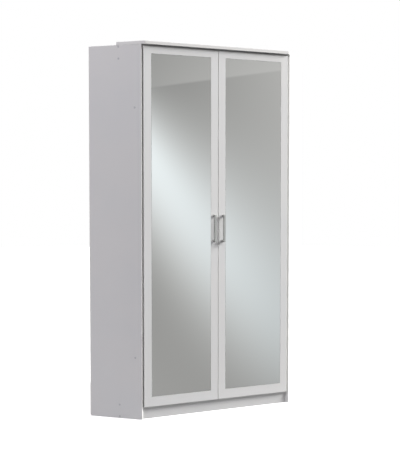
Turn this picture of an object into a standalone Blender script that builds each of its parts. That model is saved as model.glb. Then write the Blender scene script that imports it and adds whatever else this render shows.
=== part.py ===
"""Corner wardrobe with two mirror doors, as separate boards, fittings and doors.

Plan: a square in the corner of a room with its front corner cut off at 45 degrees.
Every length is in metres. While a piece is modelled, x = 0 is the gap between the doors,
y = 0 is the front face of the door leaves, y grows towards the room corner, and z = 0 is
the floor. The empty "wardrobe" then moves the whole so that its box is centred on x and y.
"""
import math

import bmesh
import bpy
from mathutils import Matrix, Vector

# Overall sizes
HEIGHT = 1.980
WALL_RUN = 0.934            # from the room corner along each wall
SIDE_DEPTH = 0.321          # from the wall to the front corner of the crown

# Boards
BOARD = 0.016               # side panels, floors, shelves, doors
CROWN_THICKNESS = 0.016
BACK_SHEET = 0.003
FIT = 0.0003                # between pieces that touch
CROWN_OVERHANG = 0.014      # crown in front of the door leaves
CROWN_RETURN = 0.163        # length of the crown along a side panel
CROWN_NOSE = 0.022          # crown beyond the front edge of a side panel
EDGE_ROUNDING = 0.0007
BOTTOM_UNDERSIDE = 0.064
FLOOR_BEHIND_DOOR = 0.004   # from the back of the door to a floor panel
PLINTH_BEHIND_DOOR = 0.002
SHELF_BEHIND_DOOR = 0.014
STRETCHER_BEHIND_DOOR = 0.084
HAT_SHELF_MID = 1.637
LOWER_SHELF_MID = 0.327
POST = 0.030                # square batten in the room corner
POST_CLEARANCE = 0.001
SHEET_MARGIN = 0.001        # back sheet inside the outer face of a side panel
SHEET_OFF_FLOOR = 0.006

# Doors
LEAF = 0.016
DOOR_BOTTOM = 0.0655
DOOR_UNDER_CROWN = 0.009
CENTRE_GAP = 0.003
DOOR_SIDE_GAP = 0.0017      # door edge to the front edge of a side panel
MIRROR_THICKNESS = 0.004
MIRROR_TAPE = 0.001         # double-sided tape between the recess in the leaf and the glass
MIRROR_SUNK = 0.0002        # face of the glass behind the face of the leaf
MIRROR_PLAY = 0.0005        # between the glass and the edge of its recess
MIRROR_EDGE_ROUNDING = 0.0005
MIRROR_PAST_CUP = 0.003     # edge of the glass to the wall of a hinge cup
MIRROR_BORDER_TOP = 0.037
MIRROR_BORDER_BOTTOM = 0.0525

# Handles
HANDLE_MID = 1.000
HANDLE_FROM_EDGE = 0.026    # bar axis to the free edge of the door
HANDLE_LENGTH = 0.148
HANDLE_BAR = (0.012, 0.011)
HANDLE_STAND_OFF = 0.013    # leaf to the back of the bar
HANDLE_ROUNDING = 0.0015

# Cup hinges. Plan places count from the door's outer edge (in) and its back face (behind).
HINGES_PER_DOOR = 4
HINGE_FROM_END = 0.100
CUP_RADIUS = 0.0175
CUP_DEPTH = 0.012
CUP_WALL = 0.0012
CUP_MID = 0.0225
CUP_FLANGE = 0.0025         # flange beyond the cup
FLANGE_THICKNESS = 0.0012
EAR_WIDTH = 0.012           # lugs above and below the cup, for its screws
EAR_REACH = 0.028           # cup's middle to the end of a lug
EAR_STEP = 0.0001           # lug's faces inside the flange's faces
EAR_MID = 0.032
CUP_PIN = (0.013, -0.002)
LINK_LENGTH = 0.028
LINK_ANGLE = math.radians(30)
LINK_BOW = 0.009
LINK_WIDTH = 0.005
LINK_HEIGHT = 0.008
PIN_RADIUS = 0.0013
PIN_PLAY = 0.0003           # between a pin and the eye of a link
PIN_HEAD = 0.0006           # riveted end of a pin, proud of the arm
PIN_INSIDE_CUP = 0.0004     # end of a pin inside the cup's outer wall
ARM_WIDTH = 0.008
ARM_HEIGHT = 0.014
ARM_SLOT = 0.0088
ARM_FORK = 0.0065           # slot around the arm's pin
PLATE_FROM_FRONT = 0.037    # screw line on the side panel
PLATE_BASE = (0.016, 0.0025, 0.052)
PLATE_BLOCK = (0.030, 0.010, 0.010)

# Recesses for cover caps on the side panels, over the screws into floors, shelves and stretchers
CAP_RADIUS = 0.006
CAP_RECESS = 0.0018
FLOOR_SCREW_OFF_WALL = 0.170
SHELF_SCREW_OFF_WALL = 0.261
STRETCHER_SCREW_IN = 0.0035  # from the stretcher's front face
STRETCHER_SCREW_UP = 0.010   # from the stretcher's lower edge

# Soft bumpers on the back of the doors
BUMPER_RADIUS = 0.0035
BUMPER_FROM_EDGE = 0.020

# Clothes rail
RAIL_SECTION = (0.015, 0.030)
RAIL_WALL = 0.001
RAIL_Y = 0.400
RAIL_TO_BACK = 0.0817       # end of the rail to a back sheet, across the wardrobe
RAIL_BELOW_SHELF = 0.045    # rail axis to the underside of the shelf
BRACKET_THICKNESS = 0.003
BRACKET_WIDTH = 0.026
BRACKET_FOOT = 0.030
BRACKET_PLUG = 0.015

# Worked out from the sizes above
DIAGONAL = math.sqrt(0.5)
CORNER_Y = DIAGONAL * (WALL_RUN + SIDE_DEPTH) - CROWN_OVERHANG
PANEL_TOP = HEIGHT - CROWN_THICKNESS - FIT
PANEL_DEPTH = SIDE_DEPTH - CROWN_NOSE
INNER_RUN = WALL_RUN - BOARD
BACK_LINE = BACK_SHEET + FIT
DOOR_TOP = HEIGHT - CROWN_THICKNESS - DOOR_UNDER_CROWN
MIRROR_BORDER_SIDE = CUP_MID + CUP_RADIUS + MIRROR_PAST_CUP
MIRROR_RECESS = MIRROR_SUNK + MIRROR_THICKNESS + MIRROR_TAPE
DOOR_EDGE_X = DIAGONAL * (INNER_RUN - PANEL_DEPTH) - DOOR_SIDE_GAP
FRONT_MOST = HANDLE_STAND_OFF + HANDLE_BAR[1]
ROUND_STEPS = 24
CAP_STEPS = 16
SMALL_STEPS = 8
LEFT, RIGHT = -1, 1
SIDE_NAME = {LEFT: "left", RIGHT: "right"}

WHITE_BOARD = ("white_board", (0.80, 0.80, 0.79), 0.45, 0.0)
BACK_BOARD = ("back_board", (0.78, 0.77, 0.74), 0.70, 0.0)
BARE_WOOD = ("bare_wood", (0.62, 0.47, 0.30), 0.75, 0.0)
MIRROR = ("mirror", (0.90, 0.92, 0.91), 0.03, 1.0)
HANDLE_METAL = ("handle_metal", (0.48, 0.48, 0.48), 0.35, 1.0)
NICKEL = ("nickel", (0.66, 0.65, 0.62), 0.30, 1.0)
CLEAR_RUBBER = ("clear_rubber", (0.75, 0.76, 0.76), 0.50, 0.0)


def clear_scene():
    for thing in list(bpy.data.objects):
        bpy.data.objects.remove(thing, do_unlink=True)


def material(finish):
    """Principled material from a name, a colour, a roughness and a metallic value."""
    name, colour, roughness, metallic = finish
    known = bpy.data.materials.get(name)
    if known:
        return known
    made = bpy.data.materials.new(name)
    made.use_nodes = True
    shader = made.node_tree.nodes["Principled BSDF"]
    shader.inputs["Base Color"].default_value = (*colour, 1.0)
    shader.inputs["Roughness"].default_value = roughness
    shader.inputs["Metallic"].default_value = metallic
    return made


def empty(name, place, parent=None):
    """Empty at a place given in the modelling frame."""
    made = bpy.data.objects.new(name, None)
    bpy.context.collection.objects.link(made)
    made.parent = parent
    made.location = Vector(place) - (Vector(parent["place"]) if parent else Vector())
    made["place"] = tuple(place)
    return made


def add(name, shape, finish, parent):
    """Object from a bmesh that is in the modelling frame, hung on an empty."""
    mesh = bpy.data.meshes.new(name)
    bmesh.ops.recalc_face_normals(shape, faces=shape.faces)
    shape.to_mesh(mesh)
    shape.free()
    made = bpy.data.objects.new(name, mesh)
    bpy.context.collection.objects.link(made)
    made.parent = parent
    made.location = -Vector(parent["place"])
    mesh.materials.append(material(finish))
    return made


def smooth(thing, angle=math.radians(35)):
    thing.data.shade_smooth()
    thing.data.set_sharp_from_angle(angle=angle)


def round_edges(thing, width=EDGE_ROUNDING, segments=1):
    bevel = thing.modifiers.new("edges", "BEVEL")
    bevel.width = width
    bevel.segments = segments
    bevel.limit_method = "ANGLE"


def combine(thing, shape, operation):
    """Boolean of an object with a bmesh that is in the modelling frame."""
    tool = add(f"{thing.name}_{operation.lower()}_{len(thing.modifiers)}", shape, WHITE_BOARD, thing.parent)
    tool.hide_render = True
    tool.display_type = "WIRE"
    step = thing.modifiers.new(operation.lower(), "BOOLEAN")
    step.operation = operation
    step.object = tool


def cut(thing, shape):
    combine(thing, shape, "DIFFERENCE")


def join(thing, shape):
    combine(thing, shape, "UNION")


# Shapes: each function returns a bmesh in the modelling frame.

def prism(outline, low, high):
    """Plan outline carried up from one height to another."""
    shape = bmesh.new()
    base = shape.faces.new([shape.verts.new((p[0], p[1], low)) for p in outline])
    carried = bmesh.ops.extrude_face_region(shape, geom=[base])
    top = [v for v in carried["geom"] if isinstance(v, bmesh.types.BMVert)]
    bmesh.ops.translate(shape, verts=top, vec=(0, 0, high - low))
    return shape


def block(low, high):
    return prism([(low[0], low[1]), (high[0], low[1]), (high[0], high[1]), (low[0], high[1])],
                 low[2], high[2])


def turned(profile, steps=SMALL_STEPS):
    """Profile of (radius, height) points, ending on the axis at both ends, spun about Z."""
    shape = bmesh.new()
    points = [shape.verts.new((radius, 0, height)) for radius, height in profile]
    edges = [shape.edges.new(pair) for pair in zip(points, points[1:])]
    bmesh.ops.spin(shape, geom=points + edges, cent=(0, 0, 0), axis=(0, 0, 1),
                   angle=math.tau, steps=steps, use_merge=True)
    bmesh.ops.remove_doubles(shape, verts=shape.verts, dist=1e-6)
    return shape


def merged(shapes):
    """Several shapes in one bmesh, as separate bodies."""
    whole = bmesh.new()
    for shape in shapes:
        part = bpy.data.meshes.new("part")
        shape.to_mesh(part)
        shape.free()
        whole.from_mesh(part)
        bpy.data.meshes.remove(part)
    return whole


def stood(shape, place, direction):
    """Shape with its Z axis turned to a direction and its origin moved to a place."""
    turn = Vector(direction).to_track_quat("Z", "Y").to_matrix().to_4x4()
    bmesh.ops.transform(shape, matrix=Matrix.Translation(place) @ turn, verts=shape.verts)
    return shape


def rod_profile(radius, low, high):
    return [(0, low), (radius, low), (radius, high), (0, high)]


def holes(radius, depth, seats, above=0.002, steps=SMALL_STEPS):
    """Round cutters that go down from each seat."""
    return merged([stood(turned(rod_profile(radius, -depth, above), steps), *seat) for seat in seats])


# Plan geometry

def at(side, run, off):
    """Plan point at a distance along a side's wall from the corner, and off that wall."""
    return Vector((side * DIAGONAL * (run - off), CORNER_Y - DIAGONAL * (run + off)))


def off_wall_at(y, run):
    """Distance off a wall at which the line parallel to the front at y passes a run."""
    return (CORNER_Y - y) / DIAGONAL - run


def floor_outline(front_y, notched=False):
    """Fills the carcass between the side panels, the back sheets and a line at front_y."""
    run = INNER_RUN - FIT
    back = BACK_LINE
    front_off = off_wall_at(front_y, run)
    corner = [at(RIGHT, back, back)]
    if notched:
        notch = back + POST + POST_CLEARANCE
        corner = [at(RIGHT, notch, back), at(RIGHT, notch, notch), at(LEFT, notch, back)]
    return ([at(RIGHT, run, front_off), at(RIGHT, run, back)] + corner
            + [at(LEFT, run, back), at(LEFT, run, front_off)])


def strip_outline(front_y, thickness):
    """Upright board parallel to the front, mitred against both side panels."""
    run = INNER_RUN - FIT
    near, far = off_wall_at(front_y, run), off_wall_at(front_y + thickness, run)
    return [at(RIGHT, run, near), at(RIGHT, run, far), at(LEFT, run, far), at(LEFT, run, near)]


def wall_box(side, runs, offs):
    """Rectangle in plan, square to a side's wall."""
    return [at(side, runs[0], offs[0]), at(side, runs[1], offs[0]),
            at(side, runs[1], offs[1]), at(side, runs[0], offs[1])]


def from_edge(side, inward, behind):
    """Plan point counted from the outer edge and the back face of a closed door."""
    return Vector((side * (DOOR_EDGE_X - inward), LEAF + behind))


def on_panel(side, back, proud):
    """Plan point counted back from a side panel's front edge and off its inner face."""
    return at(side, INNER_RUN - proud, PANEL_DEPTH - back)


def raised(point, height):
    return Vector((point[0], point[1], height))


def ribbon(path, width, round_steps=6):
    """Outline of a strip of one width along a plan path, with round ends."""
    half = width / 2
    left, right = [], []
    for i, point in enumerate(path):
        after = (path[i + 1] - point).normalized() if i + 1 < len(path) else None
        before = (point - path[i - 1]).normalized() if i else after
        along = (before + (after or before)).normalized()
        across = Vector((-along.y, along.x)) * half / along.dot(before)
        left.append(point + across)
        right.append(point - across)
    return left + half_circle(path[-2], path[-1], half, round_steps) + right[::-1] + \
        half_circle(path[1], path[0], half, round_steps)


def half_circle(start, end, radius, steps):
    """Points round the end of a strip that runs from start to end, without its two corners."""
    tip = (end - start).normalized()
    side = Vector((-tip.y, tip.x))
    turns = [math.pi * k / steps for k in range(1, steps)]
    return [end + radius * (side * math.cos(turn) + tip * math.sin(turn)) for turn in turns]


def oval(width, height, steps=8):
    """Upright oval with straight sides: two half circles, as (across, up) points."""
    radius = width / 2
    rise = height / 2 - radius
    turns = [math.pi * k / steps for k in range(steps + 1)]
    top = [(radius * math.cos(turn), rise + radius * math.sin(turn)) for turn in turns]
    return top + [(-across, -up) for across, up in top]


def carried(outline, axis, low, high):
    """Outline carried along X, given as (y, z) points, or along Y, given as (x, z) points."""
    shape = prism(outline, low, high)
    rows = {"X": ((0, 0, 1), (1, 0, 0), (0, 1, 0)), "Y": ((1, 0, 0), (0, 0, 1), (0, 1, 0))}[axis]
    bmesh.ops.transform(shape, matrix=Matrix(rows).to_4x4(), verts=shape.verts)
    return shape


# Heights and plan lines that several pieces share

TOP_UNDERSIDE = PANEL_TOP - BOARD
TOP_MID = PANEL_TOP - BOARD / 2
BOTTOM_TOP = BOTTOM_UNDERSIDE + BOARD
BOTTOM_MID = BOTTOM_UNDERSIDE + BOARD / 2
STRETCHER_HEIGHT = BOTTOM_UNDERSIDE - FIT
TOP_STRETCHER_LOW = TOP_UNDERSIDE - FIT - STRETCHER_HEIGHT
FLOOR_Y = LEAF + FLOOR_BEHIND_DOOR
PLINTH_Y = LEAF + PLINTH_BEHIND_DOOR
STRETCHER_Y = LEAF + STRETCHER_BEHIND_DOOR
SHELF_Y = LEAF + SHELF_BEHIND_DOOR
SHELF_LOWS = {"lower_shelf": LOWER_SHELF_MID - BOARD / 2, "hat_shelf": HAT_SHELF_MID - BOARD / 2}
HINGE_STEP = (DOOR_TOP - DOOR_BOTTOM - 2 * HINGE_FROM_END) / (HINGES_PER_DOOR - 1)
HINGE_HEIGHTS = [DOOR_BOTTOM + HINGE_FROM_END + HINGE_STEP * k for k in range(HINGES_PER_DOOR)]
LINK_DIRECTION = Vector((math.cos(LINK_ANGLE), math.sin(LINK_ANGLE)))
ARM_PIN = Vector(CUP_PIN) + LINK_LENGTH * LINK_DIRECTION
UP, BACKWARD = (0, 0, 1), (0, 1, 0)


def outward(side):
    """Direction out of a side panel's outer face."""
    return Vector((side * DIAGONAL, -DIAGONAL, 0))


# Seats of round pieces, as (place, direction out of the surface)

def cap_seats(side):
    """On a side panel's outer face, where a floor, a shelf or a stretcher is screwed on."""
    spots = [(FLOOR_SCREW_OFF_WALL, TOP_MID), (FLOOR_SCREW_OFF_WALL, BOTTOM_MID)]
    spots += [(SHELF_SCREW_OFF_WALL, low + BOARD / 2) for low in SHELF_LOWS.values()]
    spots += [(off_wall_at(STRETCHER_Y + STRETCHER_SCREW_IN, INNER_RUN), low + STRETCHER_SCREW_UP)
              for low in (0, TOP_STRETCHER_LOW)]
    return [(raised(at(side, WALL_RUN, off), height), outward(side)) for off, height in spots]


def cup_seat(side, height):
    return raised(from_edge(side, CUP_MID, 0), height), BACKWARD


# Carcass

def side_panel(side, root):
    plan = wall_box(side, (INNER_RUN, WALL_RUN), (BACK_LINE, PANEL_DEPTH))
    panel = add(f"side_panel_{SIDE_NAME[side]}", prism(plan, 0, PANEL_TOP), WHITE_BOARD, root)
    round_edges(panel)
    cut(panel, holes(CAP_RADIUS + FIT, CAP_RECESS, cap_seats(side)))


def floors_and_shelves(root):
    flat_boards = {"top_panel": (FLOOR_Y, TOP_UNDERSIDE, False),
                   "bottom_panel": (FLOOR_Y, BOTTOM_UNDERSIDE, False),
                   "hat_shelf": (SHELF_Y, SHELF_LOWS["hat_shelf"], True),
                   "lower_shelf": (SHELF_Y, SHELF_LOWS["lower_shelf"], True)}
    for name, (front_y, low, notched) in flat_boards.items():
        outline = floor_outline(front_y, notched)
        round_edges(add(name, prism(outline, low, low + BOARD), WHITE_BOARD, root))


def crown(root):
    corners = [(WALL_RUN, SIDE_DEPTH), (WALL_RUN, SIDE_DEPTH - CROWN_RETURN)]
    plan = [at(RIGHT, *corner) for corner in corners] + [at(LEFT, *corner) for corner in corners[::-1]]
    board = add("crown_board", prism(plan, HEIGHT - CROWN_THICKNESS, HEIGHT), WHITE_BOARD, root)
    round_edges(board)


def uprights_across(root):
    """Plinth and the two stretchers: boards on edge, mitred between the side panels."""
    boards = {"plinth_board": (PLINTH_Y, 0), "base_stretcher": (STRETCHER_Y, 0),
              "top_stretcher": (STRETCHER_Y, TOP_STRETCHER_LOW)}
    for name, (front_y, low) in boards.items():
        shape = prism(strip_outline(front_y, BOARD), low, low + STRETCHER_HEIGHT)
        round_edges(add(name, shape, WHITE_BOARD, root))


def back(root):
    post_plan = wall_box(RIGHT, (BACK_LINE, BACK_LINE + POST), (BACK_LINE, BACK_LINE + POST))
    add("corner_post", prism(post_plan, BOTTOM_TOP + FIT, TOP_UNDERSIDE - FIT), BARE_WOOD, root)
    for side, start in ((LEFT, 0), (RIGHT, BACK_LINE)):
        plan = wall_box(side, (start, WALL_RUN - SHEET_MARGIN), (0, BACK_SHEET))
        add(f"back_panel_{SIDE_NAME[side]}", prism(plan, SHEET_OFF_FLOOR, PANEL_TOP), BACK_BOARD, root)


def clothes_rail(root):
    z = SHELF_LOWS["hat_shelf"] - RAIL_BELOW_SHELF
    width, height = RAIL_SECTION
    half = CORNER_Y - (RAIL_Y + width / 2) - BACK_SHEET / DIAGONAL - RAIL_TO_BACK

    def section(inset):
        return [(RAIL_Y + across, z + up) for across, up in oval(width - 2 * inset, height - 2 * inset)]

    rail = add("clothes_rail", carried(section(0), "X", -half, half), NICKEL, root)
    cut(rail, carried(section(RAIL_WALL), "X", -half - BOARD, half + BOARD))
    smooth(rail)
    top = SHELF_LOWS["hat_shelf"] - FIT
    low = z - height / 2 - BRACKET_THICKNESS
    for side in (LEFT, RIGHT):
        x = [side * (half + FIT + step) for step in (0, BRACKET_THICKNESS, BRACKET_FOOT)]
        angle = [(x[0], low), (x[1], low), (x[1], top - BRACKET_THICKNESS),
                 (x[2], top - BRACKET_THICKNESS), (x[2], top), (x[0], top)]
        bracket = add(f"rail_bracket_{SIDE_NAME[side]}",
                      carried(angle, "Y", RAIL_Y - BRACKET_WIDTH / 2, RAIL_Y + BRACKET_WIDTH / 2),
                      NICKEL, root)
        tip = side * (half + FIT - BRACKET_PLUG)
        join(bracket, carried(section(RAIL_WALL + FIT), "X", *sorted((tip, x[1] - side * FIT))))


# Cup hinges: plate and arm on the carcass, bowed link between two pins, cup in the door

def bar(radius, half_length, place, steps=SMALL_STEPS):
    """Upright round bar, centred on a place."""
    return stood(turned(rod_profile(radius, -half_length, half_length), steps), place, UP)


def hinge_plate(name, side, z, root):
    def slab(length, proud, width):
        outline = [on_panel(side, PLATE_FROM_FRONT + step * length / 2, height)
                   for step, height in ((-1, FIT), (1, FIT), (1, proud), (-1, proud))]
        return prism(outline, z - width / 2, z + width / 2)

    plate = add(f"hinge_plate_{name}", slab(*PLATE_BASE), NICKEL, root)
    join(plate, slab(*PLATE_BLOCK))


def hinge_arm(name, side, z, root):
    proud = PLATE_BLOCK[1] + FIT + ARM_WIDTH / 2
    ends = [PLATE_FROM_FRONT + step * PLATE_BLOCK[0] / 2 for step in (1, -1)]
    path = [on_panel(side, end, proud) for end in ends] + [from_edge(side, *ARM_PIN)]
    shape = prism(ribbon(path, ARM_WIDTH), z - ARM_HEIGHT / 2, z + ARM_HEIGHT / 2)
    arm = add(f"hinge_arm_{name}", shape, NICKEL, root)
    pin = raised(from_edge(side, *ARM_PIN), z)
    cut(arm, bar(ARM_FORK, ARM_SLOT / 2, pin, CAP_STEPS))
    join(arm, bar(PIN_RADIUS, ARM_HEIGHT / 2 + PIN_HEAD, pin))


def link_path(steps=10):
    """Arc from the cup's pin to the arm's pin, bowed towards the door, counted as from_edge is."""
    along = LINK_DIRECTION
    bow = Vector((along.y, -along.x))
    half = LINK_LENGTH / 2
    radius = (half ** 2 + LINK_BOW ** 2) / (2 * LINK_BOW)
    centre = Vector(CUP_PIN) + along * half - bow * (radius - LINK_BOW)
    reach = math.asin(half / radius)
    turns = [reach * (2 * k / steps - 1) for k in range(steps + 1)]
    return [centre + radius * (along * math.sin(turn) + bow * math.cos(turn)) for turn in turns]


def hinge_link(name, side, z, axis):
    outline = ribbon([from_edge(side, *point) for point in link_path()], LINK_WIDTH)
    link = add(f"hinge_link_{name}", prism(outline, z - LINK_HEIGHT / 2, z + LINK_HEIGHT / 2), NICKEL, axis)
    eyes = [raised(from_edge(side, *pin), z) for pin in (ARM_PIN, CUP_PIN)]
    cut(link, merged([bar(PIN_RADIUS + PIN_PLAY, LINK_HEIGHT, eye) for eye in eyes]))


def hinge_cup(name, side, z, axis):
    rim, floor = FIT + FLANGE_THICKNESS, -CUP_DEPTH + CUP_WALL
    flange, mouth = CUP_RADIUS + CUP_FLANGE, CUP_RADIUS - CUP_WALL
    profile = [(0, -CUP_DEPTH), (CUP_RADIUS, -CUP_DEPTH), (CUP_RADIUS, FIT), (flange, FIT),
               (flange, rim), (mouth, rim), (mouth, floor), (0, floor)]
    cup = add(f"hinge_cup_{name}", stood(turned(profile, ROUND_STEPS), *cup_seat(side, z)), NICKEL, axis)
    ears = []
    for up in (-1, 1):
        middle = z + up * (EAR_REACH + mouth) / 2
        half = (EAR_REACH - mouth) / 2
        plan = [from_edge(side, EAR_MID + step * EAR_WIDTH / 2, behind)
                for step, behind in ((-1, FIT + EAR_STEP), (1, FIT + EAR_STEP), (1, rim - EAR_STEP),
                                     (-1, rim - EAR_STEP))]
        ears.append(prism(plan, middle - half, middle + half))
    join(cup, merged(ears))
    within = CUP_RADIUS - PIN_INSIDE_CUP
    half = math.sqrt(within ** 2 - (CUP_MID - CUP_PIN[0] + PIN_RADIUS) ** 2)
    join(cup, bar(PIN_RADIUS, half, raised(from_edge(side, *CUP_PIN), z)))
    smooth(cup)


# Doors

def behind_mirror(side, front, rear, play):
    """Block as high and wide as a mirror, with play all round, between two distances behind the leaf's face."""
    near, far = CENTRE_GAP / 2 + MIRROR_BORDER_SIDE - play, DOOR_EDGE_X - MIRROR_BORDER_SIDE + play
    low, high = DOOR_BOTTOM + MIRROR_BORDER_BOTTOM - play, DOOR_TOP - MIRROR_BORDER_TOP + play
    return block((side * near, front, low), (side * far, rear, high))


def door_leaf(side, axis):
    low = (side * CENTRE_GAP / 2, 0, DOOR_BOTTOM)
    high = (side * DOOR_EDGE_X, LEAF, DOOR_TOP)
    leaf = add(f"door_leaf_{SIDE_NAME[side]}", block(low, high), WHITE_BOARD, axis)
    round_edges(leaf)
    seats = [cup_seat(side, height) for height in HINGE_HEIGHTS]
    cut(leaf, holes(CUP_RADIUS + FIT, CUP_DEPTH + FIT, seats, steps=ROUND_STEPS))
    cut(leaf, behind_mirror(side, -LEAF, MIRROR_RECESS, MIRROR_PLAY))


def mirror(side, axis):
    glass = behind_mirror(side, MIRROR_SUNK, MIRROR_SUNK + MIRROR_THICKNESS, 0)
    round_edges(add(f"mirror_{SIDE_NAME[side]}", glass, MIRROR, axis), MIRROR_EDGE_ROUNDING)


def handle(side, axis):
    width, depth = HANDLE_BAR
    rear, front = -HANDLE_STAND_OFF, -HANDLE_STAND_OFF - depth
    top, foot = HANDLE_MID + HANDLE_LENGTH / 2, HANDLE_MID + HANDLE_LENGTH / 2 - width
    upper = [(front, top), (-FIT, top), (-FIT, foot), (rear, foot)]
    lower = [(y, 2 * HANDLE_MID - z) for y, z in reversed(upper)]
    x = side * (CENTRE_GAP / 2 + HANDLE_FROM_EDGE)
    pull = add(f"handle_{SIDE_NAME[side]}", carried(upper + lower, "X", x - width / 2, x + width / 2),
               HANDLE_METAL, axis)
    round_edges(pull, HANDLE_ROUNDING, segments=2)


def bumpers(side, axis):
    x = side * (CENTRE_GAP / 2 + BUMPER_FROM_EDGE)
    profile = rod_profile(BUMPER_RADIUS, FIT, FLOOR_BEHIND_DOOR - FIT)
    for level, height in (("low", (DOOR_BOTTOM + BOTTOM_TOP) / 2), ("high", (TOP_UNDERSIDE + DOOR_TOP) / 2)):
        shape = stood(turned(profile), Vector((x, LEAF, height)), BACKWARD)
        smooth(add(f"door_bumper_{SIDE_NAME[side]}_{level}", shape, CLEAR_RUBBER, axis))


def door(side, root):
    """One door on its own axes: the link turns about the arm's pin, the leaf about the cup's."""
    name = SIDE_NAME[side]
    link_axis = empty(f"link_axis_{name}", raised(from_edge(side, *ARM_PIN), HANDLE_MID), root)
    door_axis = empty(f"door_axis_{name}", raised(from_edge(side, *CUP_PIN), HANDLE_MID), link_axis)
    for number, z in enumerate(HINGE_HEIGHTS, start=1):
        hinge_plate(f"{name}_{number}", side, z, root)
        hinge_arm(f"{name}_{number}", side, z, root)
        hinge_link(f"{name}_{number}", side, z, link_axis)
        hinge_cup(f"{name}_{number}", side, z, door_axis)
    door_leaf(side, door_axis)
    mirror(side, door_axis)
    handle(side, door_axis)
    bumpers(side, door_axis)


def main():
    clear_scene()
    root = empty("wardrobe", (0, 0, 0))
    for side in (LEFT, RIGHT):
        side_panel(side, root)
        door(side, root)
    floors_and_shelves(root)
    crown(root)
    uprights_across(root)
    back(root)
    clothes_rail(root)
    root.location.y = (FRONT_MOST - CORNER_Y) / 2


main()
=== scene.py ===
import math

import bpy
import numpy as np
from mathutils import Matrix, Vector


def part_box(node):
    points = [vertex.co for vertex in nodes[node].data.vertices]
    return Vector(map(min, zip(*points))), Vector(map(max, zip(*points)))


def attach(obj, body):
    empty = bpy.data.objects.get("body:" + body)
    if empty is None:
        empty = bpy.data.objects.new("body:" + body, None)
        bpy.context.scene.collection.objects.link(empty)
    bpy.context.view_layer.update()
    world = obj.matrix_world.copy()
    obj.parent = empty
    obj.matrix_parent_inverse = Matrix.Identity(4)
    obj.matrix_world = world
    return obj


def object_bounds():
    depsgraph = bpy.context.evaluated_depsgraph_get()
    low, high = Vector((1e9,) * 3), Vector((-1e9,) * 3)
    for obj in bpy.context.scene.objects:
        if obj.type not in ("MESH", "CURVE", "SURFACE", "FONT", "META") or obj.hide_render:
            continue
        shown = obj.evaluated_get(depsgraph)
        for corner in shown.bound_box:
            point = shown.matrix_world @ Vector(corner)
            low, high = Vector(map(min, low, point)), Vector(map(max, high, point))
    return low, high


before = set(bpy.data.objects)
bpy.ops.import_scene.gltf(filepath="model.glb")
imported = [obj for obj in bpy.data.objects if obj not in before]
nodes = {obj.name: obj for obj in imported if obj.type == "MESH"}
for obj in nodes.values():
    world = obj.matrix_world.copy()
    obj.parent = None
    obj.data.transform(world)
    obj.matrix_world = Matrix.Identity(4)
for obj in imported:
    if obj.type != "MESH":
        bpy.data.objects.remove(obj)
cad_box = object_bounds()


# ---------------------------------------------------------------- studio
# The wardrobe stands on a seamless pale floor. A large softbox high on its
# front right lights the doors and lays soft shade under the crown and under
# the doors; a weaker one high on its left keeps the left side in even shade.

def srgb(hex_colour):
    """Linear RGBA of an sRGB hex colour: c/12.92 near black, else ((c + 0.055) / 1.055)^2.4."""
    parts = [int(hex_colour[i:i + 2], 16) / 255 for i in (1, 3, 5)]
    linear = [c / 12.92 if c <= 0.04045 else ((c + 0.055) / 1.055) ** 2.4 for c in parts]
    return (*linear, 1.0)


def node(tree, kind, inputs=None, **settings):
    """Adds a shader node with its settings; each input is fed by a socket or set to a value."""
    made = tree.nodes.new("ShaderNode" + kind)
    for name, value in settings.items():
        setattr(made, name, value)
    for place, value in (inputs or {}).items():
        if isinstance(value, bpy.types.NodeSocket):
            tree.links.new(value, made.inputs[place])
        else:
            made.inputs[place].default_value = value
    return made


def new_material(name):
    """Empty node tree with an output; returns the material, its tree and the output's Surface socket."""
    made = bpy.data.materials.new(name)
    made.use_nodes = True
    tree = made.node_tree
    tree.nodes.clear()
    output = tree.nodes.new("ShaderNodeOutputMaterial")
    return made, tree, output.inputs["Surface"]


def mesh_object(name, points, faces, material):
    """Object at the origin from arrays of points and of faces, which may have 3 or 4 corners."""
    mesh = bpy.data.meshes.new(name)
    mesh.from_pydata(np.asarray(points, float).tolist(), [], [list(face) for face in faces])
    mesh.materials.append(material)
    mesh.update()
    made = bpy.data.objects.new(name, mesh)
    bpy.context.scene.collection.objects.link(made)
    return made


def grid_faces(rows, columns, wrap):
    """Quads of a grid of points; with wrap the last column joins the first."""
    across = columns if wrap else columns - 1
    row, column = np.meshgrid(np.arange(rows - 1), np.arange(across), indexing="ij")
    after = (column + 1) % columns
    corners = [row * columns + column, row * columns + after, (row + 1) * columns + after,
               (row + 1) * columns + column]
    return np.stack(corners, -1).reshape(-1, 4)


scene = bpy.context.scene
scene.view_settings.view_transform = "Standard"
scene.view_settings.look = "None"

world = bpy.data.worlds.new("white studio")
scene.world = world
world.use_nodes = True
world.node_tree.nodes["Background"].inputs["Color"].default_value = srgb("#f9f7fb")
world.node_tree.nodes["Background"].inputs["Strength"].default_value = 0.20

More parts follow.
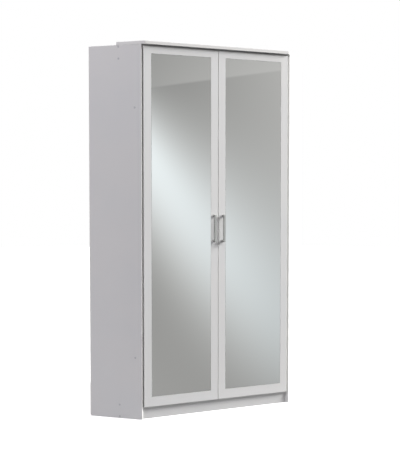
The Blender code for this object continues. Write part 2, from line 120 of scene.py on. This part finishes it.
FLOOR_RADIUS, FLOOR_INNER, FLOOR_TOP = 14.0, 3.0, -0.0004
FLOOR_GLOW = 0.85         # the floor's own light, which washes out its shadows
floor_paint, tree, surface = new_material("matt white studio floor")
place = node(tree, "TexCoord").outputs["Object"]
cloud = node(tree, "TexNoise", {"Vector": place, "Scale": 3.0, "Detail": 3.0}).outputs["Fac"]
tint = node(tree, "ValToRGB", {"Fac": cloud})
tint.color_ramp.elements[0].color = srgb("#f3f3f2")
tint.color_ramp.elements[1].color = srgb("#f8f8f8")
paint = node(tree, "BsdfPrincipled",
             {"Base Color": tint.outputs["Color"], "Roughness": 0.8, "Emission Color": srgb("#ffffff"),
              "Emission Strength": FLOOR_GLOW})
tree.links.new(paint.outputs["BSDF"], surface)
angle, radius = np.meshgrid(np.linspace(0, math.tau, 49)[:-1], (0.0, FLOOR_INNER, FLOOR_RADIUS))
rings = np.stack([radius * np.cos(angle), radius * np.sin(angle), np.full_like(angle, FLOOR_TOP)], -1)
floor = mesh_object("studio_floor", rings.reshape(-1, 3), grid_faces(3, 48, True)[:, ::-1], floor_paint)
floor.visible_diffuse = False

# A white surround that only the camera sees, so that it throws no light on the boards.
surround_glow, tree, surface = new_material("white studio surround")
plain = node(tree, "Emission", {"Color": srgb("#ffffff"), "Strength": 1.0})
tree.links.new(plain.outputs[0], surface)
DOME_RADIUS = 40.0
turn, rise = np.meshgrid(np.linspace(0, math.tau, 33)[:-1], np.linspace(-0.2, math.pi / 2 - 0.01, 9))
dome = np.stack([np.cos(turn) * np.cos(rise), np.sin(turn) * np.cos(rise), np.sin(rise)], -1)
dome = dome * DOME_RADIUS
surround = mesh_object("studio_surround", dome.reshape(-1, 3), grid_faces(9, 32, True), surround_glow)
surround.visible_diffuse = False
surround.visible_glossy = False
surround.visible_transmission = False
surround.visible_shadow = False


def softbox(name, place, target, size, power, colour):
    """Square area light at a place, turned to a target."""
    lamp = bpy.data.lights.new(name, "AREA")
    lamp.size = size
    lamp.energy = power
    lamp.color = srgb(colour)[:3]
    made = bpy.data.objects.new(name, lamp)
    scene.collection.objects.link(made)
    made.location = place
    made.rotation_euler = (Vector(target) - Vector(place)).to_track_quat("-Z", "Y").to_euler()
    return made


WARDROBE_MIDDLE = (0.0, -0.3, 1.0)
softbox("key softbox", (13.6, -5.2, 9.0), WARDROBE_MIDDLE, 7.5, 4750.0, "#fffefc")
softbox("side softbox", (-15.0, -4.5, 8.5), WARDROBE_MIDDLE, 7.0, 1330.0, "#fbf8fe")

# The camera stands left of the doors' middle, a little above half height, and looks slightly down.
CAMERA_PLACE = (-2.3345, -4.9312, 1.2241)
CAMERA_TURN, CAMERA_TILT = math.radians(26.2648), math.radians(2.5335)
lens = bpy.data.cameras.new("camera")
lens.sensor_width = 36.0
lens.lens = 73.77
camera = bpy.data.objects.new("camera", lens)
scene.collection.objects.link(camera)
camera.location = CAMERA_PLACE
camera.rotation_euler = (math.pi / 2 - CAMERA_TILT, 0.0, -CAMERA_TURN)
scene.camera = camera

# A tall reflector panel stands in front of the doors. Only the mirrors and polished metal see it:
# a slanting soft light band on grey, under a paler top. Its sizes are in metres on the doors' plane,
# where x runs across from the gap between the doors and z is the height.
PANEL_Y = -0.852
PANEL_SHARE = 0.0933      # panel's distance from the mirrors over the camera's
MIRROR_LOSS = 0.90        # share of the light that silvered glass gives back
DIMMEST = 0.2
BAND_MIDDLE = (0.9138, -1.0773, 0.2498)       # z = a + bx + cxx
BAND_OVER, BAND_UNDER = (0.3237, 0.3378), (0.3256, 0.1063)      # spread = a + bx
BAND_STRENGTH = (0.4125, -0.4184, 0.1956)     # light = a + bx + cxx
BAND_WEAKEST = 0.05
GREY, GREY_RISE, GREY_TURN = 0.3063, 0.013, (-0.0966, 0.1817)   # grey = a + bz + (c + dz)x
TOP_EDGE, TOP_SHARPNESS = (1.802, 0.167), 90.0                  # z = a + bx
TOP_GREY, TOP_GREY_RISE = (0.7924, 0.1979), -0.202              # grey = a + bx + cz
panel_glow, tree, surface = new_material("studio reflector panel")
place = node(tree, "TexCoord").outputs["Object"]
axes = node(tree, "SeparateXYZ", {"Vector": place})
# Each point of the panel is followed back to the point of the doors where the camera sees it.
across = node(tree, "Math",
              {0: axes.outputs["X"], 1: -CAMERA_PLACE[0] * PANEL_SHARE}, operation="SUBTRACT").outputs[0]
across = node(tree, "Math", {0: across, 1: 1 + PANEL_SHARE}, operation="DIVIDE").outputs[0]
height = node(tree, "Math",
              {0: axes.outputs["Z"], 1: CAMERA_PLACE[2] * PANEL_SHARE}, operation="ADD").outputs[0]
height = node(tree, "Math", {0: height, 1: 1 + PANEL_SHARE}, operation="DIVIDE").outputs[0]
# The band runs down to the right: bell = exp(-((z - middle) / spread)^2 / 2).
square = node(tree, "Math", {0: across, 1: across}, operation="MULTIPLY").outputs[0]
middle = node(tree, "Math",
              {0: across, 1: BAND_MIDDLE[1], 2: BAND_MIDDLE[0]}, operation="MULTIPLY_ADD").outputs[0]
middle = node(tree, "Math", {0: square, 1: BAND_MIDDLE[2], 2: middle}, operation="MULTIPLY_ADD").outputs[0]
offset = node(tree, "Math", {0: height, 1: middle}, operation="SUBTRACT").outputs[0]
is_over = node(tree, "Math", {0: offset, 1: 0.0}, operation="GREATER_THAN").outputs[0]
spread_over = node(tree, "Math",
                   {0: across, 1: BAND_OVER[1], 2: BAND_OVER[0]}, operation="MULTIPLY_ADD").outputs[0]
spread_under = node(tree, "Math",
                    {0: across, 1: BAND_UNDER[1], 2: BAND_UNDER[0]}, operation="MULTIPLY_ADD").outputs[0]
spread = node(tree, "Mix", {0: is_over, 2: spread_under, 3: spread_over}, data_type="FLOAT").outputs[0]
share = node(tree, "Math", {0: offset, 1: spread}, operation="DIVIDE").outputs[0]
share = node(tree, "Math", {0: share, 1: share}, operation="MULTIPLY").outputs[0]
share = node(tree, "Math", {0: share, 1: -0.5}, operation="MULTIPLY").outputs[0]
bell = node(tree, "Math", {0: share}, operation="EXPONENT").outputs[0]
strength = node(tree, "Math",
                {0: across, 1: BAND_STRENGTH[1], 2: BAND_STRENGTH[0]}, operation="MULTIPLY_ADD").outputs[0]
strength = node(tree, "Math",
                {0: square, 1: BAND_STRENGTH[2], 2: strength}, operation="MULTIPLY_ADD").outputs[0]
strength = node(tree, "Math", {0: strength, 1: BAND_WEAKEST}, operation="MAXIMUM").outputs[0]
slope = node(tree, "Math",
             {0: height, 1: GREY_TURN[1], 2: GREY_TURN[0]}, operation="MULTIPLY_ADD").outputs[0]
grey = node(tree, "Math", {0: across, 1: slope, 2: GREY}, operation="MULTIPLY_ADD").outputs[0]
grey = node(tree, "Math", {0: height, 1: GREY_RISE, 2: grey}, operation="MULTIPLY_ADD").outputs[0]
band = node(tree, "Math", {0: bell, 1: strength, 2: grey}, operation="MULTIPLY_ADD").outputs[0]
edge = node(tree, "Math", {0: across, 1: TOP_EDGE[1], 2: TOP_EDGE[0]}, operation="MULTIPLY_ADD").outputs[0]
over = node(tree, "Math", {0: height, 1: edge}, operation="SUBTRACT").outputs[0]
over = node(tree, "Math", {0: over, 1: TOP_SHARPNESS}, operation="MULTIPLY", use_clamp=True).outputs[0]
top_grey = node(tree, "Math",
                {0: across, 1: TOP_GREY[1], 2: TOP_GREY[0]}, operation="MULTIPLY_ADD").outputs[0]
top_grey = node(tree, "Math",
                {0: height, 1: TOP_GREY_RISE, 2: top_grey}, operation="MULTIPLY_ADD").outputs[0]
glow = node(tree, "Mix", {0: over, 2: band, 3: top_grey}, data_type="FLOAT").outputs[0]
glow = node(tree, "Math", {0: glow, 1: MIRROR_LOSS}, operation="DIVIDE").outputs[0]
glow = node(tree, "Math", {0: glow, 1: DIMMEST}, operation="MAXIMUM").outputs[0]
hue = node(tree, "Mix", {0: bell, 6: srgb("#fefdfa"), 7: srgb("#f8feff")}, data_type="RGBA").outputs[2]
light = node(tree, "Emission", {"Color": hue, "Strength": glow})
tree.links.new(light.outputs[0], surface)
wide, tall = np.meshgrid(np.linspace(-1.6, 2.2, 3), np.linspace(0.004, 2.6, 3))
sheet = np.stack([wide, np.full_like(wide, PANEL_Y), tall], -1)
panel = mesh_object("studio_reflector_panel", sheet.reshape(-1, 3), grid_faces(3, 3, False), panel_glow)
panel.visible_camera = False
panel.visible_diffuse = False
panel.visible_shadow = False


# ---------------------------------------------------------------- white boards
# Sides, floors, shelves, crown, plinth and door leaves are 16 mm chipboard
# faced with white melamine paper, pressed with a fine pearl texture, and edged
# all round with a smoother strip of white ABS, ironed on.

FACE_WHITE, FACE_WHITE_LOW, EDGE_WHITE = "#e9e9e8", "#e6e7e7", "#efefed"
PEARL_PITCH = 0.0018      # pressed texture, drawn about three times coarser than the real 0.6 mm
SHEET_CLOUD = 0.35        # slow tone drift across a pressed sheet


def melamine(name, thickness_axis):
    """Board whose two faces look along an axis: they are matt with a pearl grain, its edges smooth ABS."""
    made, tree, surface = new_material(name)
    where = node(tree, "TexCoord")
    place = where.outputs["Object"]
    drift = node(tree, "TexNoise",
                 {"Vector": place, "Scale": 1 / SHEET_CLOUD, "Detail": 2.0}).outputs["Fac"]
    tone = node(tree, "ValToRGB", {"Fac": drift})
    tone.color_ramp.elements[0].position = 0.35
    tone.color_ramp.elements[0].color = srgb(FACE_WHITE_LOW)
    tone.color_ramp.elements[1].position = 0.65
    tone.color_ramp.elements[1].color = srgb(FACE_WHITE)
    lean = node(tree, "VectorMath", {0: where.outputs["Normal"], 1: thickness_axis},
                operation="DOT_PRODUCT").outputs["Value"]
    lean = node(tree, "Math", {0: lean}, operation="ABSOLUTE").outputs[0]
    on_edge = node(tree, "Math", {0: lean, 1: 0.8}, operation="LESS_THAN").outputs[0]
    colour = node(tree, "Mix", {7: srgb(EDGE_WHITE)}, data_type="RGBA")
    tree.links.new(on_edge, colour.inputs[0])
    tree.links.new(tone.outputs["Color"], colour.inputs[6])
    pearl = node(tree, "TexNoise",
                 {"Vector": place, "Scale": 1 / PEARL_PITCH, "Detail": 3.0, "Roughness": 0.6})
    smear = node(tree, "TexNoise", {"Vector": place, "Scale": 9.0, "Detail": 4.0}).outputs["Fac"]
    face_gloss = node(tree, "Math", {0: smear, 1: 0.10, 2: 0.38}, operation="MULTIPLY_ADD").outputs[0]
    gloss = node(tree, "Mix", {3: 0.30}, data_type="FLOAT")
    tree.links.new(on_edge, gloss.inputs[0])
    tree.links.new(face_gloss, gloss.inputs[2])
    on_face = node(tree, "Math", {0: 1.0, 1: on_edge}, operation="SUBTRACT").outputs[0]
    relief = node(tree, "Math", {0: pearl.outputs["Fac"], 1: on_face}, operation="MULTIPLY").outputs[0]
    bump = node(tree, "Bump", {"Height": relief, "Strength": 0.25, "Distance": 0.00008})
    board = node(tree, "BsdfPrincipled",
                 {"Base Color": colour.outputs[2], "Roughness": gloss.outputs[0],
                  "Normal": bump.outputs["Normal"], "IOR": 1.5})
    tree.links.new(board.outputs["BSDF"], surface)
    return made


def dress(material, *names):
    """Gives CAD nodes one material."""
    for name in names:
        for slot in nodes[name].material_slots:
            slot.material = material


R = math.sqrt(0.5)
dress(melamine("white melamine flat boards", (0, 0, 1)),
      "top_panel", "bottom_panel", "hat_shelf", "lower_shelf", "crown_board")
dress(melamine("white melamine front boards", (0, 1, 0)),
      "plinth_board", "base_stretcher", "top_stretcher", "door_leaf_left", "door_leaf_right")
side_white = {-1: melamine("white melamine left side", (-R, -R, 0)),
              1: melamine("white melamine right side", (R, -R, 0))}
dress(side_white[-1], "side_panel_left")
dress(side_white[1], "side_panel_right")


# ---------------------------------------------------------------- screw covers
# Each side panel is screwed to the floors, shelves and rails with connecting
# screws. Their counterbores are closed by pushed-in white polyethylene caps.

NAMES = {-1: "left", 1: "right"}
BOARD = 0.016
OUT = {side: np.array([side * R, -R, 0.0]) for side in (-1, 1)}
ALONG = {side: np.array([side * R, R, 0.0]) for side in (-1, 1)}


def front_corner(side):
    """Inner front corner of a side panel at floor level, worked out from its box and its thickness."""
    low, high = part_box(f"side_panel_{NAMES[side]}")
    inner_x = min(abs(low.x), abs(high.x))
    return np.array([side * inner_x, low.y + R * BOARD, 0.0])


def on_side(side, back, proud, height):
    """Point at a distance back along a side panel's inner face from its front edge, proud of that face."""
    return front_corner(side) + ALONG[side] * back - OUT[side] * proud + np.array([0.0, 0.0, height])


def turned(profile, seats, steps, depth_of=None):
    """Closed solids of revolution, one at each seat, which is a place and an outward direction w.

    Point (i, t) is place + r_i cos(t) u + r_i sin(t) v + h_i w, from a profile of (r, h) and with
    u, v and w square to each other. depth_of(x, y) may sink the points near its top.
    """
    radius, height = np.array(profile, float).T
    turn = np.linspace(0, math.tau, steps + 1)[:-1]
    x, y = radius[:, None] * np.cos(turn), radius[:, None] * np.sin(turn)
    z = np.repeat(height[:, None], steps, 1)
    if depth_of is not None:
        z = z - depth_of(x, y) * (height > height.max() * 0.6)[:, None]
    points, faces = [], []
    ring = grid_faces(len(profile), steps, True)
    lid = np.arange(steps)
    for place, direction in seats:
        w = np.array(direction, float) / np.linalg.norm(direction)
        u = np.cross(w, (0.0, 0.0, 1.0) if abs(w[2]) < 0.9 else (0.0, 1.0, 0.0))
        u = u / np.linalg.norm(u)
        v = np.cross(w, u)
        start = len(points) * len(profile) * steps
        around = np.array(place) + x[..., None] * u + y[..., None] * v + z[..., None] * w
        points.append(around.reshape(-1, 3))
        faces += (ring + start).tolist()
        faces.append((lid[::-1] + start).tolist())
        faces.append((lid + start + (len(profile) - 1) * steps).tolist())
    return np.concatenate(points), faces


def shade_round(thing, degrees=35):
    """Smooth faces with sharp edges kept over an angle."""
    thing.data.shade_smooth()
    thing.data.set_sharp_from_angle(angle=math.radians(degrees))


cap_plastic, tree, surface = new_material("white moulded polyethylene with painted shade")
place = node(tree, "TexCoord").outputs["Object"]
# Moulded pips: a fine satin skin with faint flow marks, a shade cooler than the board and painted darker
# than it: the grey is painted shade standing in for the shade of the counterbores they sit in.
flow = node(tree, "TexNoise", {"Vector": place, "Scale": 900.0, "Detail": 2.0}).outputs["Fac"]
bump = node(tree, "Bump", {"Height": flow, "Strength": 0.2, "Distance": 0.00005})
# The caps' two greys are painted shade: darker than the board, where the counterbores' shade falls.
tint = node(tree, "ValToRGB", {"Fac": flow})
tint.color_ramp.elements[0].color = srgb("#cacbcd")
tint.color_ramp.elements[1].color = srgb("#d6d7d9")
plastic = node(tree, "BsdfPrincipled",
               {"Base Color": tint.outputs["Color"], "Normal": bump.outputs["Normal"], "Roughness": 0.42,
                "IOR": 1.51, "Subsurface Weight": 0.05})
tree.links.new(plastic.outputs["BSDF"], surface)

CAP = [(0.0001, -0.00005), (0.0046, 0.0), (0.0055, 0.0), (0.0058, 0.0003), (0.0058, 0.0008),
       (0.0053, 0.0012), (0.0040, 0.00135), (0.0016, 0.0014), (0.0001, 0.0014)]
PANEL_DEPTH, CAP_RECESS = 0.299, 0.0018
FLOOR_SCREW, SHELF_SCREW, STRETCHER_SCREW = 0.170, 0.261, 0.17075      # distances off the wall
STRETCHER_SCREW_UP = 0.010


def level(name):
    """Middle height of a flat board."""
    low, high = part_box(name)
    return (low.z + high.z) / 2


for side in (-1, 1):
    corner = front_corner(side) + OUT[side] * (BOARD - CAP_RECESS)
    spots = [(FLOOR_SCREW, level("top_panel")), (FLOOR_SCREW, level("bottom_panel"))]
    spots += [(SHELF_SCREW, level("lower_shelf")), (SHELF_SCREW, level("hat_shelf"))]
    for name in ("base_stretcher", "top_stretcher"):
        spots.append((STRETCHER_SCREW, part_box(name)[0].z + STRETCHER_SCREW_UP))
    seats = [(corner + ALONG[side] * (PANEL_DEPTH - off) + np.array([0, 0, z]), OUT[side])
             for off, z in spots]
    caps = mesh_object(f"cover_caps_{NAMES[side]}", *turned(CAP, seats, 28), cap_plastic)
    shade_round(caps)
    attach(caps, "carcass")


# ---------------------------------------------------------------- back
# Two sheets of 3 mm hardboard close the wall sides, white-lacquered inside and
# plain brown outside, nailed to the boards' rear edges and to a spruce post
# that stands in the room corner.

hardboard, tree, surface = new_material("lacquered hardboard")
where = node(tree, "TexCoord")
place = where.outputs["Object"]
# Pressed wood fibres a few millimetres long, felted in all directions.
fibre = node(tree, "TexNoise", {"Vector": place, "Scale": 420.0, "Detail": 5.0, "Roughness": 0.65})
mottle = node(tree, "TexNoise", {"Vector": place, "Scale": 14.0, "Detail": 3.0})
felt = node(tree, "Math", {0: fibre.outputs["Fac"], 1: 0.55}, operation="MULTIPLY").outputs[0]
blend = node(tree, "Math",
             {0: mottle.outputs["Fac"], 1: 0.45, 2: felt}, operation="MULTIPLY_ADD").outputs[0]
brown = node(tree, "ValToRGB", {"Fac": blend})
brown.color_ramp.elements[0].position = 0.32
brown.color_ramp.elements[0].color = srgb("#84603c")
brown.color_ramp.elements[1].position = 0.68
brown.color_ramp.elements[1].color = srgb("#a67f56")
facing = node(tree, "VectorMath", {0: where.outputs["Normal"], 1: (0, 1, 0)}, operation="DOT_PRODUCT")
wall_side = node(tree, "Math", {0: facing.outputs["Value"], 1: -0.2}, operation="GREATER_THAN").outputs[0]
colour = node(tree, "Mix", {6: srgb("#e6e5e1")}, data_type="RGBA")
tree.links.new(wall_side, colour.inputs[0])
tree.links.new(brown.outputs["Color"], colour.inputs[7])
gloss = node(tree, "Math", {0: wall_side, 1: 0.22, 2: 0.42}, operation="MULTIPLY_ADD").outputs[0]
bump = node(tree, "Bump", {"Height": fibre.outputs["Fac"], "Strength": 0.35, "Distance": 0.0001})
sheet = node(tree, "BsdfPrincipled",
             {"Base Color": colour.outputs[2], "Roughness": gloss, "Normal": bump.outputs["Normal"],
              "IOR": 1.5})
tree.links.new(sheet.outputs["BSDF"], surface)
dress(hardboard, "back_panel_left", "back_panel_right")

spruce, tree, surface = new_material("planed spruce")
place = node(tree, "TexCoord").outputs["Object"]
# Growth rings about 4 mm apart, drawn long up the post.
stretched = node(tree, "Mapping", {"Vector": place, "Scale": (1.0, 1.0, 0.06)})
rings = node(tree, "TexWave",
             {"Vector": stretched.outputs["Vector"], "Scale": 38.0, "Distortion": 5.0, "Detail": 3.0,
              "Detail Scale": 2.0}, bands_direction="X")
grain = node(tree, "ValToRGB", {"Fac": rings.outputs["Fac"]})
grain.color_ramp.elements[0].color = srgb("#b98d58")
grain.color_ramp.elements[1].color = srgb("#dcb987")
bump = node(tree, "Bump", {"Height": rings.outputs["Fac"], "Strength": 0.3, "Distance": 0.0002})
timber = node(tree, "BsdfPrincipled",
              {"Base Color": grain.outputs["Color"], "Normal": bump.outputs["Normal"], "Roughness": 0.68,
               "IOR": 1.5})
tree.links.new(timber.outputs["BSDF"], surface)
dress(spruce, "corner_post")

nail_steel, tree, surface = new_material("bright drawn steel nail")
place = node(tree, "TexCoord").outputs["Object"]
scuff = node(tree, "TexNoise", {"Vector": place, "Scale": 1500.0, "Detail": 2.0}).outputs["Fac"]
rough = node(tree, "Math", {0: scuff, 1: 0.2, 2: 0.25}, operation="MULTIPLY_ADD").outputs[0]
steel = node(tree, "BsdfPrincipled", {"Roughness": rough, "Base Color": srgb("#b8b8b4"), "Metallic": 1.0})
tree.links.new(steel.outputs["BSDF"], surface)

NAIL = [(0.0001, -0.0001), (0.0014, 0.0), (0.0016, 0.0003), (0.0012, 0.0006), (0.0001, 0.0007)]
BOARD_NAILS = np.arange(0.06, 0.90, 0.120)      # distances from the room corner
EDGE_NAILS = (0.020, 0.926)                     # in the post and in the side panel
EDGE_NAIL_HEIGHTS = np.arange(0.13, 1.92, 0.15)
room_corner_y = cad_box[1].y
levels = [level(name) for name in ("bottom_panel", "lower_shelf", "hat_shelf", "top_panel")]
for side in (-1, 1):
    corner = np.array([0.0, room_corner_y, 0.0])
    along_wall = np.array([side * R, -R, 0.0])
    out_of_wall = np.array([side * R, R, 0.0])
    spots = [(run, z) for z in levels for run in BOARD_NAILS]
    spots += [(run, z) for run in EDGE_NAILS for z in EDGE_NAIL_HEIGHTS]
    seats = [(corner + along_wall * run + np.array([0, 0, z]), out_of_wall) for run, z in spots]
    nails = mesh_object(f"back_nails_{NAMES[side]}", *turned(NAIL, seats, 10), nail_steel)
    shade_round(nails)
    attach(nails, "carcass")


# ---------------------------------------------------------------- mirrors
# A 4 mm float-glass mirror with ground edges, silvered and painted grey
# behind, is taped into a shallow recess in each leaf, flush with its face.

FRONT_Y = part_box("mirror_left")[0].y
BACK_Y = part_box("mirror_left")[1].y
FACE_SKIN = 0.00006       # how far behind a face its own finish still counts
silvered, tree, surface = new_material("silvered float glass")
place = node(tree, "TexCoord").outputs["Object"]
y = node(tree, "SeparateXYZ", {"Vector": place}).outputs["Y"]
wiped = node(tree, "TexNoise",
             {"Vector": place, "Scale": 5.0, "Detail": 4.0, "Distortion": 0.6}).outputs["Fac"]
clean = node(tree, "Math", {0: wiped, 1: 0.012, 2: 0.004}, operation="MULTIPLY_ADD").outputs[0]
mirror_face = node(tree, "BsdfPrincipled",
                   {"Roughness": clean, "Base Color": srgb("#f4f5f5"), "Metallic": 1.0})
grit = node(tree, "TexNoise", {"Vector": place, "Scale": 2500.0, "Detail": 2.0}).outputs["Fac"]
bump = node(tree, "Bump", {"Height": grit, "Strength": 0.3, "Distance": 0.00005})
ground_edge = node(tree, "BsdfPrincipled",
                   {"Normal": bump.outputs["Normal"], "Base Color": srgb("#7f978d"), "Roughness": 0.32,
                    "IOR": 1.52})
backing = node(tree, "BsdfPrincipled",
               {"Normal": bump.outputs["Normal"], "Base Color": srgb("#6d7073"), "Roughness": 0.6,
                "IOR": 1.5})
behind_face = node(tree, "Math", {0: y, 1: FRONT_Y + FACE_SKIN}, operation="GREATER_THAN").outputs[0]
on_back = node(tree, "Math", {0: y, 1: BACK_Y - FACE_SKIN}, operation="GREATER_THAN").outputs[0]
glass_mix = node(tree, "MixShader",
                 {0: behind_face, 1: mirror_face.outputs["BSDF"], 2: ground_edge.outputs["BSDF"]})
whole_mix = node(tree, "MixShader", {0: on_back, 1: glass_mix.outputs[0], 2: backing.outputs["BSDF"]})
tree.links.new(whole_mix.outputs[0], surface)
dress(silvered, "mirror_left", "mirror_right")


# ---------------------------------------------------------------- handles
# A flat bar of zinc, satin-nickel plated and brushed lengthways, with its two
# feet cast on, is held by two screws from behind the leaf.

satin, tree, surface = new_material("brushed satin nickel")
place = node(tree, "TexCoord").outputs["Object"]
# Brush lines 0.3 mm apart run up the bar and vary in tone and gloss.
lines = node(tree, "Mapping", {"Vector": place, "Scale": (3000.0, 3000.0, 28.0)})
brushed = node(tree, "TexNoise",
               {"Vector": lines.outputs["Vector"], "Scale": 1.0, "Detail": 3.0}).outputs["Fac"]
tone = node(tree, "ValToRGB", {"Fac": brushed})
tone.color_ramp.elements[0].position = 0.3
tone.color_ramp.elements[0].color = srgb("#a3a3a2")
tone.color_ramp.elements[1].position = 0.7
tone.color_ramp.elements[1].color = srgb("#b9b9b7")
gloss = node(tree, "Math", {0: brushed, 1: 0.18, 2: 0.28}, operation="MULTIPLY_ADD").outputs[0]
bump = node(tree, "Bump", {"Height": brushed, "Strength": 0.15, "Distance": 0.00003})
bar = node(tree, "BsdfPrincipled",
           {"Base Color": tone.outputs["Color"], "Roughness": gloss, "Normal": bump.outputs["Normal"],
            "Metallic": 1.0})
tree.links.new(bar.outputs["BSDF"], surface)
dress(satin, "handle_left", "handle_right")

SCREW_HEAD = (0.0036, 0.0022)             # radius and height
HANDLE_SCREW_HEAD = (0.0042, 0.0024)
FOOT_MIDDLE = 0.006                       # end of the bar to the middle of a foot


def cross_slot(x, y):
    """Pozidriv recess: 0.9 mm deep inside four arms 1.1 mm wide that end 2.1 mm from the middle."""
    narrow = np.minimum(np.abs(x), np.abs(y))
    reach = np.hypot(x, y)
    return 0.0009 * (narrow < 0.00055) * (reach < 0.0021)


def pan_head(radius, height, rings=9):
    """Profile of a low domed head: height falls with the fourth power of the radius."""
    r = np.linspace(radius, 0.0001, rings)
    dome = height * (1 - 0.45 * (r / radius) ** 4)
    return [(radius * 0.9, 0.0), (radius, height * 0.2)] + list(zip(r, dome))


zinc, tree, surface = new_material("zinc-plated steel screw")
place = node(tree, "TexCoord").outputs["Object"]
mist = node(tree, "TexNoise", {"Vector": place, "Scale": 1200.0, "Detail": 3.0}).outputs["Fac"]
tone = node(tree, "ValToRGB", {"Fac": mist})
tone.color_ramp.elements[0].color = srgb("#9a9b9a")
tone.color_ramp.elements[1].color = srgb("#c3c4c2")
rough = node(tree, "Math", {0: mist, 1: 0.2, 2: 0.22}, operation="MULTIPLY_ADD").outputs[0]
plated = node(tree, "BsdfPrincipled",
              {"Base Color": tone.outputs["Color"], "Roughness": rough, "Metallic": 1.0})
tree.links.new(plated.outputs["BSDF"], surface)


def screws(name, seats, body, head=SCREW_HEAD):
    """Cross-head screws at seats, riding on a body."""
    made = mesh_object(name, *turned(pan_head(*head), seats, 32, cross_slot), zinc)
    shade_round(made)
    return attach(made, body)


for side in (-1, 1):
    low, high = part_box(f"handle_{NAMES[side]}")
    leaf_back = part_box(f"door_leaf_{NAMES[side]}")[1].y
    middle_x = (low.x + high.x) / 2
    feet = (low.z + FOOT_MIDDLE, high.z - FOOT_MIDDLE)
    seats = [((middle_x, leaf_back, z), (0, 1, 0)) for z in feet]
    screws(f"handle_screws_{NAMES[side]}", seats, f"door_{NAMES[side]}", HANDLE_SCREW_HEAD)


# ---------------------------------------------------------------- hinges
# Four cup hinges to a door: a pressed steel cup sunk into the leaf, a bowed
# link on two pins and an arm screwed to a plate on the side panel, all
# nickel-plated.

nickel, tree, surface = new_material("nickel-plated pressed steel")
place = node(tree, "TexCoord").outputs["Object"]
# Plating is bright but not flat: a faint orange peel 1 mm wide and a few duller handling marks.
peel = node(tree, "TexNoise", {"Vector": place, "Scale": 1100.0, "Detail": 2.0}).outputs["Fac"]
marks = node(tree, "TexNoise", {"Vector": place, "Scale": 90.0, "Detail": 4.0}).outputs["Fac"]
tone = node(tree, "ValToRGB", {"Fac": marks})
tone.color_ramp.elements[0].color = srgb("#bdb9b0")
tone.color_ramp.elements[1].color = srgb("#d4d1c9")
gloss = node(tree, "Math", {0: marks, 1: 0.22, 2: 0.14}, operation="MULTIPLY_ADD").outputs[0]
bump = node(tree, "Bump", {"Height": peel, "Strength": 0.12, "Distance": 0.00004})
plating = node(tree, "BsdfPrincipled",
               {"Base Color": tone.outputs["Color"], "Roughness": gloss, "Normal": bump.outputs["Normal"],
                "Metallic": 1.0})
tree.links.new(plating.outputs["BSDF"], surface)
dress(nickel, *[name for name in nodes if name.startswith("hinge_")])

PLATE_BACK, PLATE_PROUD, PLATE_SCREWS = 0.037, 0.0025, (-0.016, 0.016)
ARM_PROUD, ARM_SCREWS, ARM_SCREW_HEAD = 0.0183, (-0.008, 0.008), (0.0030, 0.0010)
LUG_IN, LUG_SCREWS = 0.0095, (-0.0225, 0.0225)
for side in (-1, 1):
    name = NAMES[side]
    plate_seats, arm_seats, lug_seats = [], [], []
    for number in (1, 2, 3, 4):
        low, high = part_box(f"hinge_cup_{name}_{number}")
        z = (low.z + high.z) / 2
        lug_x = (low.x + high.x) / 2 - side * LUG_IN
        lug_seats += [((lug_x, high.y, z + up), (0, 1, 0)) for up in LUG_SCREWS]
        plate_seats += [(on_side(side, PLATE_BACK, PLATE_PROUD, z + up), -OUT[side]) for up in PLATE_SCREWS]
        arm_seats += [(on_side(side, PLATE_BACK + step, ARM_PROUD, z), -OUT[side]) for step in ARM_SCREWS]
    screws(f"hinge_plate_screws_{name}", plate_seats, "carcass")
    screws(f"hinge_arm_screws_{name}", arm_seats, "carcass", ARM_SCREW_HEAD)
    screws(f"hinge_cup_screws_{name}", lug_seats, f"door_{name}")

clear_pad, tree, surface = new_material("clear soft polyurethane")
place = node(tree, "TexCoord").outputs["Object"]
haze = node(tree, "TexNoise", {"Vector": place, "Scale": 600.0, "Detail": 2.0}).outputs["Fac"]
rough = node(tree, "Math", {0: haze, 1: 0.15, 2: 0.18}, operation="MULTIPLY_ADD").outputs[0]
pad = node(tree, "BsdfPrincipled",
           {"Roughness": rough, "Base Color": srgb("#dfe4e4"), "IOR": 1.49, "Transmission Weight": 0.55})
tree.links.new(pad.outputs["BSDF"], surface)
dress(clear_pad, *[name for name in nodes if name.startswith("door_bumper")])


# ---------------------------------------------------------------- clothes rail
# An oval chromed steel tube rests on the tongues of two pressed brackets
# that are screwed up into the hat shelf.

chrome, tree, surface = new_material("chromed steel tube")
place = node(tree, "TexCoord").outputs["Object"]
# Faint lengthways rubbing by the hangers, 1 mm apart across the rail.
rubbed = node(tree, "Mapping", {"Vector": place, "Scale": (6.0, 900.0, 900.0)})
rub = node(tree, "TexNoise",
           {"Vector": rubbed.outputs["Vector"], "Scale": 1.0, "Detail": 3.0}).outputs["Fac"]
gloss = node(tree, "Math", {0: rub, 1: 0.10, 2: 0.06}, operation="MULTIPLY_ADD").outputs[0]
tube = node(tree, "BsdfPrincipled", {"Roughness": gloss, "Base Color": srgb("#d5d8da"), "Metallic": 1.0})
tree.links.new(tube.outputs["BSDF"], surface)
dress(chrome, "clothes_rail")
dress(nickel, "rail_bracket_left", "rail_bracket_right")

BRACKET_THICKNESS, BRACKET_SCREW_IN, BRACKET_SCREWS = 0.003, 0.010, (-0.007, 0.007)
for side in (-1, 1):
    low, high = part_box(f"rail_bracket_{NAMES[side]}")
    screw_x = side * (max(abs(low.x), abs(high.x)) - BRACKET_SCREW_IN)
    middle_y = (low.y + high.y) / 2
    foot_low = high.z - BRACKET_THICKNESS
    seats = [((screw_x, middle_y + step, foot_low), (0, 0, -1)) for step in BRACKET_SCREWS]
    screws(f"rail_bracket_screws_{NAMES[side]}", seats, "carcass")
